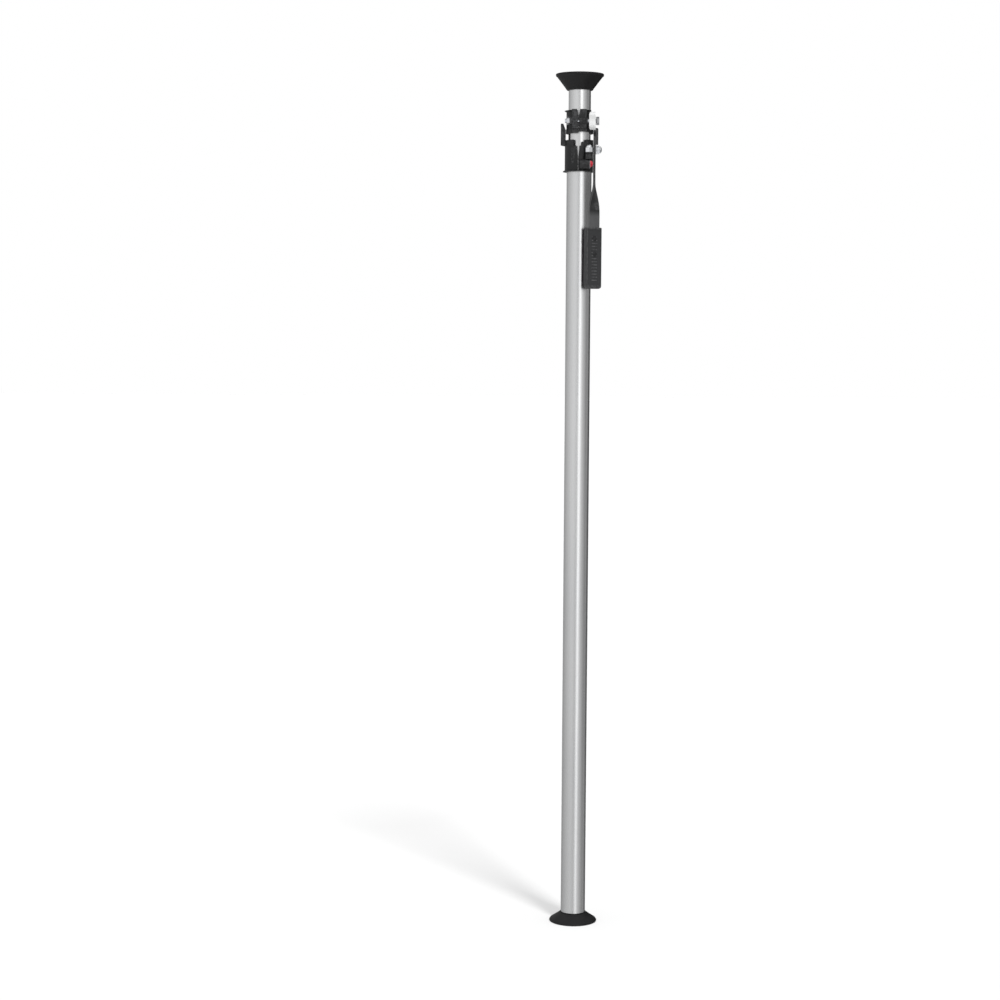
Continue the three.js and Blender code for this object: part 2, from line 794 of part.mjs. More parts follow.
// The lever: cam plate with its track, hub, stop, strap and tang, in one piece
function makeLever() {
  let lever = plate(camSector(null, camRim));
  lever = lever.add(plateDisc(camRim, 0)).add(plateDisc(camRim, leverSweep));
  lever = lever.add(shaft(pivotHubRadius, leverInner, leverOuter, 0, pivotHeight, roundSides));
  lever = lever.add(strap(strapWidth, leverThickness, 0, tangEnd));

  const stopTop = pivotHeight + camStart + camRim;
  const stopRight = leverOuter + camStopReach;
  const corner = arc(stopRight - camStopRound, stopTop - camStopRound, camStopRound, 0, quarter);
  const stopLeft = leverOuter - leverThickness / 4;
  const stop = alongY(extruded([
    [stopLeft, pivotHeight + camStopRise], [stopRight, pivotHeight + camStopRise],
    ...corner, [stopLeft, stopTop],
  ], -camStopHalfDepth, camStopHalfDepth));

  const pinRight = leverOuter;
  const track = plate(camSector(-slotHalf, slotHalf), leverInner - cutOverrun, pinRight)
    .add(plateDisc(slotHalf, 0, leverInner - cutOverrun, pinRight))
    .add(plateDisc(slotHalf, leverSweep, leverInner - cutOverrun, pinRight));
  const hole = shaft(
    pivotStudRadius + screwGap, leverInner - cutOverrun, leverOuter + cutOverrun, 0, pivotHeight,
  );
  lever = lever.add(stop).subtract(track).subtract(hole);
  for (const height of rivetHeights) {
    lever = lever.subtract(acrossGrip(rivetRadius + screwGap, -gripThickness, gripThickness, height));
  }
  place('lever', lever, blackSteel);
}

// The grip, with a pocket for the tang and two rivets through both
function makeGrip() {
  const gripBottom = gripTop - gripLength;
  const outline = roundedRectangle(gripWidth, gripThickness, gripRound);
  const front = gripSetback - gripThickness / 2;
  const rear = gripSetback + gripThickness / 2;
  let grip = extruded(outline, gripBottom, gripTop).translate([0, gripSetback, 0]);
  const profile = (half) => [
    [-half, gripTop + cutOverrun], [-half, gripBottom + gripEndRound],
    ...arc(-half + gripEndRound, gripBottom + gripEndRound, gripEndRound, 2 * quarter, 3 * quarter),
    ...arc(half - gripEndRound, gripBottom + gripEndRound, gripEndRound, 3 * quarter, 4 * quarter),
    [half, gripTop + cutOverrun],
  ];
  grip = grip.intersect(alongY(extruded(profile(gripWidth / 2), -gripWidth, gripWidth)));
  const pocketHalfWidth = strapWidth / 2 + clearance;
  const pocketHalfThickness = leverThickness / 2 + clearance;
  const pocket = block(
    [-pocketHalfWidth, -pocketHalfThickness, pivotHeight - tangEnd - clearance],
    [pocketHalfWidth, pocketHalfThickness, gripTop + cutOverrun],
  );
  grip = toGrip(grip.subtract(pocket));
  for (const height of rivetHeights) {
    grip = grip.subtract(acrossGrip(rivetRadius + screwGap, -gripThickness, gripThickness, height));
    grip = grip.subtract(acrossGrip(
      rivetHeadRadius + screwGap, rear - rivetHeadHeight - clearance, gripThickness, height,
    ));
    grip = grip.subtract(acrossGrip(
      rivetHeadRadius + screwGap, -gripThickness, front + rivetHeadHeight + clearance, height,
    ));
  }
  place('lever_grip', grip, rubber);

  rivetHeights.forEach((height, i) => {
    const rivet = acrossGrip(rivetRadius, front, rear, height)
      .add(acrossGrip(rivetHeadRadius, rear - rivetHeadHeight, rear, height))
      .add(acrossGrip(rivetHeadRadius, front, front + rivetHeadHeight, height));
    place(`grip_rivet_${i + 1}`, rivet, blackSteel);
  });
}

// The upper collar: a split clamp on the inner tube, with a proud boss at the front for the
// clamp stud, a flange at the top, and a lug on each side that rides in the cam's path
function makeUpperCollar() {
  const bore = innerTubeRadius + clearance;
  const flange = upperRadius + upperFlangeReach;
  const foot = upperBottom + upperLugHeight;
  let collar = turned([
    [bore, upperBottom], [leftLugReach, upperBottom], [leftLugReach, foot - clearance],
    [upperRadius, foot], [upperRadius, upperTop - upperFlangeHeight],
    [flange, upperTop - upperFlangeHeight / 2], [flange, upperTop - upperFlangeHeight / 4],
    [upperRadius, upperTop], [bore, upperTop], [bore, upperBottom],
  ]);
  const lugs = block(
    [-leftLugReach, -upperLugHalfDepth, upperBottom], [sideFlat, upperLugHalfDepth, foot],
  );
  const boss = block([-bossLeft, -bossFront, foot], [bossRight, 0, upperTop]);
  const hub = shaft(
    bossHubRadius, 0, bossRight + bossHubReach, -clampDepth, clampHeight, roundSides,
  );
  const bossFoot = block(
    [-bossLeft, -bossFront + bossForward / 2, upperBottom + clearance], [bossRight, 0, foot],
  );
  collar = collar.add(lugs).add(boss).add(bossFoot).add(hub);
  collar = collar.subtract(disc(bore, upperBottom - cutOverrun, upperTop + cutOverrun));

  const beyond = flange + bossForward;
  const frontDepth = -(bossFront + cutOverrun);
  const sweep = shaft(
    Math.hypot(knobHeight, knobDepth) / 2 + clearance, knobInner - clearance, beyond,
    -clampDepth, clampHeight, roundSides,
  );
  const trim = block(
    [upperFlangeRight, -beyond, upperTop - upperFlangeHeight], [beyond, beyond, upperTop + cutOverrun],
  );
  const stud = shaft(clampStudRadius + screwGap, -beyond, beyond, -clampDepth, clampHeight);
  const pin = shaft(camPinRadius + screwGap, 0, beyond, 0, camPinHeight);
  const middle = -clampSlitOffset;
  const frontRelief = block(
    [middle, frontDepth, upperBottom - cutOverrun],
    [beyond, -(upperLugHalfDepth + clearance), upperBottom + upperFrontRise],
  );
  collar = collar.subtract(sweep).subtract(trim).subtract(stud).subtract(pin)
    .subtract(frontRelief);

  const slit = block(
    [middle - clampSlit / 2, frontDepth, upperBottom - cutOverrun],
    [middle + clampSlit / 2, 0, upperTop + cutOverrun],
  );
  const veeTop = upperTop + clearance;
  const vee = alongY(extruded([
    [middle - clampVeeWidth / 2, veeTop], [middle, veeTop - clampVeeDepth],
    [middle + clampVeeWidth / 2, veeTop],
  ], frontDepth, 0));
  const port = alongY(disc(clampPortRadius, frontDepth, -clampDepth, smallSides))
    .translate([middle, 0, clampHeight - clampPortDrop]);
  const slotBottom = upperBottom + clampLowerSlotRise;
  const lowerSlot = alongY(extruded([
    [middle - clampLowerSlotWidth / 2, slotBottom], [middle + clampLowerSlotWidth / 2, slotBottom],
    [middle, slotBottom + clampLowerSlotHeight],
  ], frontDepth, 0));
  collar = collar.subtract(slit).subtract(vee).subtract(port).subtract(lowerSlot);

  for (const edge of [-bossLeft, bossRight]) {
    const inward = edge < 0 ? edge + bossGrooveWidth : edge - bossGrooveWidth;
    const groove = block(
      [inward - bossGrooveWidth / 2, frontDepth, foot + bossGrooveWidth],
      [inward + bossGrooveWidth / 2, -bossFront + bossGroove, upperTop + cutOverrun],
    );
    collar = collar.subtract(groove);
  }
  place('upper_collar', collar, blackCasting);

  const pinLeft = innerTubeRadius + 2 * clearance;
  place('cam_pin', shaft(camPinRadius, pinLeft, leverOuter - clearance, 0, camPinHeight), zinc);
}

// The clamp stud across the front of the upper collar, with a nut at its left end and
// the knob and its stop nut at its right end
function makeClamp() {
  const at = [-clampDepth, clampHeight];
  const bore = clampStudRadius + screwGap;
  place('clamp_stud', shaft(clampStudRadius, -clampStudLeft, clampStudRight, ...at), zinc);

  const washerRight = -bossLeft - clearance;
  const washerLeft = washerRight - clampSpacerThickness;
  const spacer = washer(bore, clampWasherRadius, washerLeft, washerRight, ...at);
  place('clamp_washer', spacer, blackSteel);

  const nutRight = washerLeft - clearance;
  place('clamp_nut', hexNut(nutAcross, nutRight - nutThickness, nutRight, bore), zinc);

  const knobRight = knobInner + knobThickness;
  const stopWasherLeft = knobRight + clearance;
  const stopWasherRight = stopWasherLeft + clampWasherThickness;
  place('stop_washer', washer(
    bore, clampWasherRadius, stopWasherLeft, stopWasherRight, ...at,
  ), zinc);
  const stopLeft = stopWasherRight + clearance;
  place('stop_nut', hexNut(nutAcross, stopLeft, stopLeft + stopNutThickness, bore), zinc);

  const half = knobHeight / 2;
  const round = knobDepth / 2;
  const outline = [
    ...arc(0, half - round, round, 0, 2 * quarter, 2 * arcStepCount),
    [-(round - knobWaist), 0],
    ...arc(0, round - half, round, 2 * quarter, 4 * quarter, 2 * arcStepCount),
    [round - knobWaist, 0],
  ];
  let knob = extruded(outline, knobInner, knobRight);
  knob = knob.subtract(disc(bore, knobInner - cutOverrun, knobRight + cutOverrun, smallSides));
  const rim = half + cutOverrun;
  const slope = knobRelief / (half - knobFaceRadius);
  knob = knob.subtract(turned([
    [knobFaceRadius, knobInner - cutOverrun], [rim, knobInner - cutOverrun],
    [rim, knobInner + slope * (rim - knobFaceRadius)], [knobFaceRadius, knobInner],
    [knobFaceRadius, knobInner - cutOverrun],
  ]));
  for (let i = 0; i < knobRibCount; i += 1) {
    const ribPlace = knobInner + knobThickness * (i + 1) / (knobRibCount + 1);
    for (const side of [-1, 1]) {
      const face = side * (round - knobRibDepth);
      const low = Math.min(face, side * (round + cutOverrun));
      const high = Math.max(face, side * (round + cutOverrun));
      knob = knob.subtract(block(
        [low, -half - cutOverrun, ribPlace - knobRibWidth / 2],
        [high, half + cutOverrun, ribPlace + knobRibWidth / 2],
      ));
    }
  }
  place('clamp_knob', alongX(knob).translate([0, ...at]), greyMoulding);
}

// A hexagon nut on the clamp stud
function hexNut(across, left, right, bore) {
  const body = extruded(hexagon(across), left, right)
    .subtract(disc(bore, left - cutOverrun, right + cutOverrun, smallSides));
  return alongX(body).translate([0, -clampDepth, clampHeight]);
}

makeTubes();
makeFoot();
makeTopCup();
makeLowerCollar();
makeCollarScrews();
makeButton();
makeLockFasteners();
makePivot();
makeLever();
makeGrip();
makeUpperCollar();
makeClamp();

export default pole;
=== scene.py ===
# %% [markdown]
# A floor to ceiling tension pole
#
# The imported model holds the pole's pieces at their real sizes, in metres, with +Z up and the
# front towards -Y. This lesson dresses those pieces: fine revolved skins for the round ones,
# eased edges for the cast ones, and a procedural finish for every surface.

# %% Load the frame
from math import asin, cos, pi, radians, sin

import bmesh
import bpy
from mathutils import Matrix, Vector


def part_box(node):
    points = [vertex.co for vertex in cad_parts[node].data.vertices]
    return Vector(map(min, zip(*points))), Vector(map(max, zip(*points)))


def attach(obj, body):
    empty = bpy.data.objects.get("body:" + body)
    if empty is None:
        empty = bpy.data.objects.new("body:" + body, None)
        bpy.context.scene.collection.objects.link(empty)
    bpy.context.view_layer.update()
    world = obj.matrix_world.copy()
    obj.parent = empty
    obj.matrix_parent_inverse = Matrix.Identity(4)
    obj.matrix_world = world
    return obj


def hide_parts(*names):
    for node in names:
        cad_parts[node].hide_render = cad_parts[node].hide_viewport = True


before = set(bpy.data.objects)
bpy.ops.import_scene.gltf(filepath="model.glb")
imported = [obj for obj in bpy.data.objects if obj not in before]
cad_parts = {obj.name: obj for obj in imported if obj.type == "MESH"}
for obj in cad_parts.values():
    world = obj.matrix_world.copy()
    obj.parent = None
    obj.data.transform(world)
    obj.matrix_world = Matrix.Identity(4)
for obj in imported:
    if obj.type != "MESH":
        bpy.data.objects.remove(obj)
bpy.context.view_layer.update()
MM = 0.001

# %% [markdown]
# The camera stands nearly four metres in front of the pole, a little over a metre off the floor,
# and looks slightly down and to the left, so the pole falls right of the middle. Its focal
# length is written in widths of the picture, which holds for a square picture.

# %% Camera
CAMERA_DISTANCE = 3.877
CAMERA_HEIGHT = 1.098
FOCAL_WIDTHS = 2.124
CAMERA_YAW = radians(-2.064)
CAMERA_PITCH = radians(4.65)
CAMERA_ROLL = radians(0.33)
SENSOR_WIDTH = 36

forward = Vector((
    sin(CAMERA_YAW) * cos(CAMERA_PITCH), cos(CAMERA_YAW) * cos(CAMERA_PITCH),
    -sin(CAMERA_PITCH),
))
level_right = Vector((cos(CAMERA_YAW), -sin(CAMERA_YAW), 0))
level_up = level_right.cross(forward)
right = cos(CAMERA_ROLL) * level_right + sin(CAMERA_ROLL) * level_up
up = cos(CAMERA_ROLL) * level_up - sin(CAMERA_ROLL) * level_right

lens = bpy.data.cameras.new("camera")
lens.sensor_width = SENSOR_WIDTH
lens.lens = FOCAL_WIDTHS * SENSOR_WIDTH
camera = bpy.data.objects.new("camera", lens)
turn = Matrix((right, up, -forward)).transposed().to_4x4()
camera.matrix_world = Matrix.Translation((0, -CAMERA_DISTANCE, CAMERA_HEIGHT)) @ turn
bpy.context.scene.collection.objects.link(camera)
bpy.context.scene.camera = camera
print("the lens is", round(lens.lens, 1), "mm")

# %% [markdown]
# Materials and lights are trees of nodes. One helper feeds a socket. Two more each add a node
# and hand back its output: one does arithmetic, and one maps a range of numbers to another.

# %% Node helpers
def fed(tree, value, socket):
    """Feeds a socket with another node's output, or with a plain number."""
    if isinstance(value, bpy.types.NodeSocket):
        tree.links.new(value, socket)
    else:
        socket.default_value = value


def arithmetic(tree, operation, first, second):
    node = tree.nodes.new("ShaderNodeMath")
    node.operation = operation
    fed(tree, first, node.inputs[0])
    fed(tree, second, node.inputs[1])
    return node.outputs["Value"]


def ranged(tree, value, low, high, start=0, end=1):
    """Turns a number that runs from start to end into one that runs from low to high."""
    node = tree.nodes.new("ShaderNodeMapRange")
    fed(tree, value, node.inputs["Value"])
    fed(tree, start, node.inputs["From Min"])
    fed(tree, end, node.inputs["From Max"])
    fed(tree, low, node.inputs["To Min"])
    fed(tree, high, node.inputs["To Max"])
    return node.outputs["Result"]


# %% [markdown]
# Materials read Object coordinates, so a pattern stays on its piece from every side. Each one
# starts from the same bare shader, and a few helpers add what a real surface has: a colour
# that drifts a little, gloss that varies, and a fine relief. A noise's grey value seldom
# leaves its middle range, so that range is stretched over the whole change.

# %% Material helpers
NOISE_DETAIL = 3
NOISE_LOW, NOISE_HIGH = 0.3, 0.7


def bare_material(name, colour, roughness, metallic=0.0, gloss=0.5):
    material = bpy.data.materials.new(name)
    material.use_nodes = True
    shader = material.node_tree.nodes["Principled BSDF"]
    shader.inputs["Base Color"].default_value = (*colour, 1)
    shader.inputs["Roughness"].default_value = roughness
    shader.inputs["Metallic"].default_value = metallic
    shader.inputs["Specular IOR Level"].default_value = gloss
    return material, shader


def stretched_noise(material, scale, stretch=(1, 1, 1)):
    nodes, links = material.node_tree.nodes, material.node_tree.links
    coordinates = nodes.new("ShaderNodeTexCoord")
    mapping = nodes.new("ShaderNodeMapping")
    mapping.inputs["Scale"].default_value = stretch
    noise = nodes.new("ShaderNodeTexNoise")
    noise.inputs["Scale"].default_value = scale
    noise.inputs["Detail"].default_value = NOISE_DETAIL
    links.new(coordinates.outputs["Object"], mapping.inputs["Vector"])
    links.new(mapping.outputs["Vector"], noise.inputs["Vector"])
    return noise.outputs["Fac"]


def between(material, factor, low, high, start=NOISE_LOW, end=NOISE_HIGH):
    """Turns a pattern's grey value into a number from low to high."""
    return ranged(material.node_tree, factor, low, high, start, end)


def two_colours(material, factor, first, second, start=NOISE_LOW, end=NOISE_HIGH):
    ramp = material.node_tree.nodes.new("ShaderNodeValToRGB")
    ramp.color_ramp.elements[0].position = start
    ramp.color_ramp.elements[0].color = (*first, 1)
    ramp.color_ramp.elements[1].position = end
    ramp.color_ramp.elements[1].color = (*second, 1)
    material.node_tree.links.new(factor, ramp.inputs["Fac"])
    return ramp.outputs["Color"]


def relief(material, shader, height, strength, distance):
    nodes, links = material.node_tree.nodes, material.node_tree.links
    bump = nodes.new("ShaderNodeBump")
    bump.inputs["Strength"].default_value = strength
    bump.inputs["Distance"].default_value = distance
    links.new(height, bump.inputs["Height"])
    links.new(bump.outputs["Normal"], shader.inputs["Normal"])


# %% [markdown]
# The tubes are drawn aluminium with a satin anodised skin. Drawing leaves hair-fine lines
# along the tube, so the noise that varies gloss and relief is squeezed across the tube and
# stretched along it. A slower noise keeps the colour from looking poured from a tin.

# %% Satin aluminium
def satin_aluminium():
    material, shader = bare_material("satin_aluminium", (0.60, 0.605, 0.61), 0.27, 1.0)
    drawn = stretched_noise(material, 900, (1, 1, 0.006))
    clouds = stretched_noise(material, 6, (1, 1, 0.4))
    links = material.node_tree.links
    tint = two_colours(material, clouds, (0.585, 0.59, 0.597), (0.63, 0.633, 0.635))
    links.new(tint, shader.inputs["Base Color"])
    links.new(between(material, drawn, 0.23, 0.33), shader.inputs["Roughness"])
    relief(material, shader, drawn, 0.12, 0.00006)
    return material


ALUMINIUM = satin_aluminium()
print("made", ALUMINIUM.name)

# %% [markdown]
# The collars are black castings with a fine stoved paint: a low sheen, a skin like the peel
# of an orange seen very small, and edges rubbed a little greyer by hands. Pointiness finds
# the edges of the mesh itself, so the wear follows each corner.

# %% Black casting
# Lightens a material's sharp edges: rubbed wear on the casting and the coat, and on the grip
# partly a painted highlight as well.
def edge_wear_and_highlight(material, base, edge_tone, start=0.515, end=0.56):
    geometry = material.node_tree.nodes.new("ShaderNodeNewGeometry")
    sharp = between(material, geometry.outputs["Pointiness"], 0, 1, start, end)
    patchy = between(material, stretched_noise(material, 260), 0.1, 1.0, 0.4, 0.62)
    edge_mask = arithmetic(material.node_tree, "MULTIPLY", sharp, patchy)
    return two_colours(material, edge_mask, base, edge_tone, 0.0, 1.0)


def black_casting():
    material, shader = bare_material("black_casting", (0.009, 0.0093, 0.01), 0.42, gloss=0.3)
    links = material.node_tree.links
    links.new(
        edge_wear_and_highlight(material, (0.0085, 0.0088, 0.0095), (0.05, 0.051, 0.053)),
        shader.inputs["Base Color"],
    )
    peel = stretched_noise(material, 1500)
    sheen = stretched_noise(material, 90)
    links.new(between(material, sheen, 0.34, 0.5), shader.inputs["Roughness"])
    relief(material, shader, peel, 0.25, 0.00008)
    return material


CASTING = black_casting()
print("made", CASTING.name)

# %% [markdown]
# Three more blacks sit side by side and have to read as different stuff. Moulded rubber is matt
# with a dusty bloom, the grip is a denser rubber with a fine grain, and the lever's steel has a
# powder coat whose gloss is a touch higher and whose relief is pebbled. The grip's edges are
# lighter, partly rubbed wear and partly a painted highlight. Below a height on the strap, just
# above the grip, the coat's colour is painted a lighter grey: a painted sheen where the strap
# catches light.

# %% Rubber, grip rubber and powder coat
# Below this height the strap's coat is painted a lighter grey, a painted sheen, which fades in
# over the given span.
PAINTED_SHEEN_BELOW = 1.307
PAINTED_SHEEN_FADE = 0.01


def moulded_rubber():
    material, shader = bare_material("moulded_rubber", (0.006, 0.006, 0.0065), 0.5, gloss=0.25)
    links = material.node_tree.links
    bloom = stretched_noise(material, 45)
    tint = two_colours(material, bloom, (0.004, 0.004, 0.0045), (0.009, 0.009, 0.0095))
    links.new(tint, shader.inputs["Base Color"])
    links.new(between(material, bloom, 0.42, 0.58), shader.inputs["Roughness"])
    relief(material, shader, stretched_noise(material, 2200), 0.3, 0.0001)
    return material


def grained_rubber():
    material, shader = bare_material("grained_rubber", (0.022, 0.0225, 0.024), 0.55, gloss=0.3)
    links = material.node_tree.links
    # The grip's edges are painted lighter: partly rubbed wear, partly a painted highlight along
    # its corners.
    links.new(
        edge_wear_and_highlight(material, (0.028, 0.0285, 0.03), (0.095, 0.096, 0.098), 0.505, 0.54),
        shader.inputs["Base Color"],
    )
    relief(material, shader, stretched_noise(material, 3200), 0.35, 0.0001)
    return material


def powder_coat():
    material, shader = bare_material("powder_coat", (0.009, 0.0095, 0.01), 0.36, gloss=0.7)
    shader.inputs["Coat Weight"].default_value = 0.15
    shader.inputs["Coat Roughness"].default_value = 0.25
    nodes, links = material.node_tree.nodes, material.node_tree.links
    coordinates = nodes.new("ShaderNodeTexCoord")
    split = nodes.new("ShaderNodeSeparateXYZ")
    links.new(coordinates.outputs["Object"], split.inputs["Vector"])
    # Low on the strap the coat's colour is painted a lighter grey: a painted sheen where the
    # lower strap catches light.
    painted_sheen_mask = between(material, split.outputs["Z"], 1, 0, PAINTED_SHEEN_BELOW - PAINTED_SHEEN_FADE, PAINTED_SHEEN_BELOW)
    mix = nodes.new("ShaderNodeMix")
    mix.data_type = "RGBA"
    # The sockets for colours come after the node's others, so they are taken by number.
    coat, painted_sheen_colour, mixed = mix.inputs[6], mix.inputs[7], mix.outputs[2]
    painted_sheen_colour.default_value = (0.062, 0.063, 0.065, 1)
    links.new(painted_sheen_mask, mix.inputs[0])
    edge_tone = edge_wear_and_highlight(material, (0.0085, 0.009, 0.0095), (0.08, 0.081, 0.084), 0.56, 0.63)
    links.new(edge_tone, coat)
    links.new(mixed, shader.inputs["Base Color"])
    sheen = stretched_noise(material, 120)
    links.new(between(material, sheen, 0.3, 0.44), shader.inputs["Roughness"])
    relief(material, shader, stretched_noise(material, 1100), 0.3, 0.0001)
    return material


RUBBER = moulded_rubber()
GRIP_RUBBER = grained_rubber()
POWDER = powder_coat()
print("made", RUBBER.name, GRIP_RUBBER.name, POWDER.name)

# %% [markdown]
# Studs and nuts are zinc plated and passivated: a bright metal with the faintest blue and tiny
# scuffs. The ring round the button, and the washer and nut outside the knob, are the same plating
# made darker and less glossy. The knob is a light grey moulding, the button a glossy red one, and
# the bushes and plugs in the tubes are plain natural nylon.

# %% Zinc, mouldings and nylon
def bright_zinc():
    material, shader = bare_material("bright_zinc", (0.72, 0.74, 0.77), 0.2, 1.0)
    links = material.node_tree.links
    scuffs = stretched_noise(material, 700, (1, 1, 0.3))
    tint = two_colours(
        material, stretched_noise(material, 80), (0.68, 0.7, 0.74), (0.78, 0.79, 0.8),
    )
    links.new(tint, shader.inputs["Base Color"])
    links.new(between(material, scuffs, 0.14, 0.3), shader.inputs["Roughness"])
    relief(material, shader, scuffs, 0.08, 0.00005)
    return material


def dull_zinc():
    material, shader = bare_material("dull_zinc", (0.36, 0.365, 0.375), 0.4, 1.0)
    tint = two_colours(
        material, stretched_noise(material, 150), (0.32, 0.325, 0.335), (0.42, 0.425, 0.435),
    )
    material.node_tree.links.new(tint, shader.inputs["Base Color"])
    relief(material, shader, stretched_noise(material, 900), 0.1, 0.00006)
    return material


def grey_moulding():
    material, shader = bare_material("grey_moulding", (0.78, 0.785, 0.785), 0.42)
    links = material.node_tree.links
    tint = two_colours(
        material, stretched_noise(material, 50), (0.75, 0.755, 0.755), (0.82, 0.825, 0.825),
    )
    links.new(tint, shader.inputs["Base Color"])
    relief(material, shader, stretched_noise(material, 1800), 0.15, 0.00006)
    return material


def red_plastic():
    material, shader = bare_material("red_plastic", (0.5, 0.012, 0.03), 0.24)
    shader.inputs["Coat Weight"].default_value = 0.3
    tint = two_colours(
        material, stretched_noise(material, 120), (0.46, 0.01, 0.027), (0.54, 0.015, 0.035),
    )
    material.node_tree.links.new(tint, shader.inputs["Base Color"])
    relief(material, shader, stretched_noise(material, 900), 0.06, 0.00005)
    return material


def natural_nylon():
    material, shader = bare_material("natural_nylon", (0.72, 0.7, 0.63), 0.5)
    tint = two_colours(
        material, stretched_noise(material, 70), (0.69, 0.67, 0.6), (0.76, 0.74, 0.68),
    )
    material.node_tree.links.new(tint, shader.inputs["Base Color"])
    relief(material, shader, stretched_noise(material, 1400), 0.12, 0.00006)
    return material


ZINC = bright_zinc()
DULL_ZINC = dull_zinc()
GREY = grey_moulding()
RED = red_plastic()
NYLON = natural_nylon()
print("made", ZINC.name, DULL_ZINC.name, GREY.name, RED.name, NYLON.name)

# %% [markdown]
# Every new piece ends in the same way: its shape becomes a mesh with one material, it rides on
# the body that moves it, and the imported piece that it stands in for, if there is one, is
# hidden. On most, a Bevel modifier eases the edges, and weighted normals keep the flats flat.

# %% Helpers for every piece
MERGE = 1e-6


def piece_from(shape, name, material, body, replaces=()):
    mesh = bpy.data.meshes.new(name)
    shape.to_mesh(mesh)
    shape.free()
    mesh.materials.append(material)
    mesh.shade_smooth()
    piece = bpy.data.objects.new(name, mesh)
    bpy.context.scene.collection.objects.link(piece)
    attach(piece, body)
    if replaces:
        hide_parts(*replaces)
    print(f"{name}: {len(mesh.polygons)} faces")
    return piece


def ease_edges(piece, width, segments=2, angle=32):
    bevel = piece.modifiers.new("eased_edges", "BEVEL")
    bevel.width = width
    bevel.segments = segments
    bevel.limit_method = "ANGLE"
    bevel.angle_limit = radians(angle)
    bevel.use_clamp_overlap = True
    weighted = piece.modifiers.new("flat_faces", "WEIGHTED_NORMAL")
    weighted.keep_sharp = True
    return piece


# %% [markdown]
# A round piece is a profile spun about its axis, finely enough to show no flats. All are spun
# upright, about the pole's axis. A stud or the button is then carried to its place, and
# turned where it lies across the pole.

# %% Helpers for round pieces
SPIN_STEPS = 128
SMALL_SPIN_STEPS = 64


def spun_shape(profile, steps=SPIN_STEPS):
    shape = bmesh.new()
    corners = [shape.verts.new((radius, 0, height)) for radius, height in profile]
    edges = [shape.edges.new(pair) for pair in zip(corners, corners[1:])]
    bmesh.ops.spin(
        shape, geom=corners + edges, cent=(0, 0, 0), axis=(0, 0, 1), angle=2 * pi,
        steps=steps, use_merge=True,
    )
    bmesh.ops.remove_doubles(shape, verts=shape.verts, dist=MERGE)
    bmesh.ops.recalc_face_normals(shape, faces=shape.faces)
    return shape


def placed(shape, at, across=False):
    """Carries an upright shape to its place, and turns it across the pole, along X."""
    turn = Matrix.Rotation(pi / 2 if across else 0, 4, "Y")
    bmesh.ops.transform(shape, matrix=Matrix.Translation(at) @ turn, verts=shape.verts)
    return shape


def arc(centre, radius, start, end, steps):
    """Points of a profile on an arc, in degrees, as radius and height."""
    angles = [radians(start + (end - start) * i / steps) for i in range(steps + 1)]
    return [(centre[0] + radius * cos(a), centre[1] + radius * sin(a)) for a in angles]


print("a round piece has", SPIN_STEPS, "sides, and a small one", SMALL_SPIN_STEPS)

# %% [markdown]
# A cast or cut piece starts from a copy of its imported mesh, because its slots and bosses are
# already there. The copy's doubles are merged and its flat triangles are dissolved into whole
# faces, so that only true edges are eased.

# %% Helpers for cast pieces
def packed_copy(node, flat):
    shape = bmesh.new()
    shape.from_mesh(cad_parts[node].data)
    bmesh.ops.remove_doubles(shape, verts=shape.verts, dist=MERGE)
    bmesh.ops.dissolve_limit(
        shape, angle_limit=radians(flat), verts=shape.verts, edges=shape.edges,
    )
    return shape


def eased_copy(node, material, body, width, segments=2, angle=32, flat=0.6):
    piece = piece_from(packed_copy(node, flat), node + "_dressed", material, body, (node,))
    return ease_edges(piece, width, segments, angle)


# %% [markdown]
# A tube end is never left square from the saw: the real ones are turned with a small chamfer
# inside and out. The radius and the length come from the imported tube's own box.

# %% The two tubes
TUBE_WALL = 1.5 * MM
TUBE_CHAMFER = 0.35 * MM


def tube_skin(node, body):
    low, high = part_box(node)
    outer = (high.x - low.x) / 2
    inner = outer - TUBE_WALL
    c = TUBE_CHAMFER
    profile = [
        (inner, low.z + c), (inner + c, low.z), (outer - c, low.z), (outer, low.z + c),
        (outer, high.z - c), (outer - c, high.z), (inner + c, high.z), (inner, high.z - c),
        (inner, low.z + c),
    ]
    piece = piece_from(
        spun_shape(profile), node + "_skin", ALUMINIUM, body, (node,),
    )
    return ease_edges(piece, c / 2, 2)


tube_skin("lower_tube", "lower_body")
tube_skin("inner_tube", "inner_tube_body")

# %% [markdown]
# The foot and the ceiling cup are rubber mouldings, so every corner has a radius and the
# cones sag in a little between rim and neck. The foot's cone ends in a ledge, and a thin lip
# stands on it round the tube. Its profile is walked from the axis along the underside, up
# the outside, and back into the socket that takes the tube.

# %% The foot
SEAT_GAP = 0.15 * MM
FOOT_GROOVE = (24 * MM, 32 * MM)
FOOT_GROOVE_SLOPE = 1 * MM
FOOT_GROOVE_DEPTH = 0.9 * MM
FOOT_RIM_ROUND = 1.4 * MM
FOOT_SHOULDER_IN, FOOT_SHOULDER_HEIGHT = 0.9 * MM, 3.3 * MM
FOOT_CONE_IN, FOOT_CONE_HEIGHT = 1.6 * MM, 4.2 * MM
FOOT_SAG = 0.15 * MM
FOOT_LEDGE_REACH, FOOT_LEDGE_DROP = 2.2 * MM, 1.9 * MM
FOOT_LEDGE_ROUND = (0.4 * MM, 0.3 * MM)
FOOT_LIP_FOOT, FOOT_LIP_TOP = 0.9 * MM, 0.7 * MM


def radius_of(node):
    low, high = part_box(node)
    return (high.x - low.x) / 2


def sagging(start, end, sag, shares):
    """Points from start to end that leave the straight line by sag in the middle."""
    return [
        tuple(a + (b - a) * t + off * sin(pi * t) for a, b, off in zip(start, end, sag))
        for t in shares
    ]


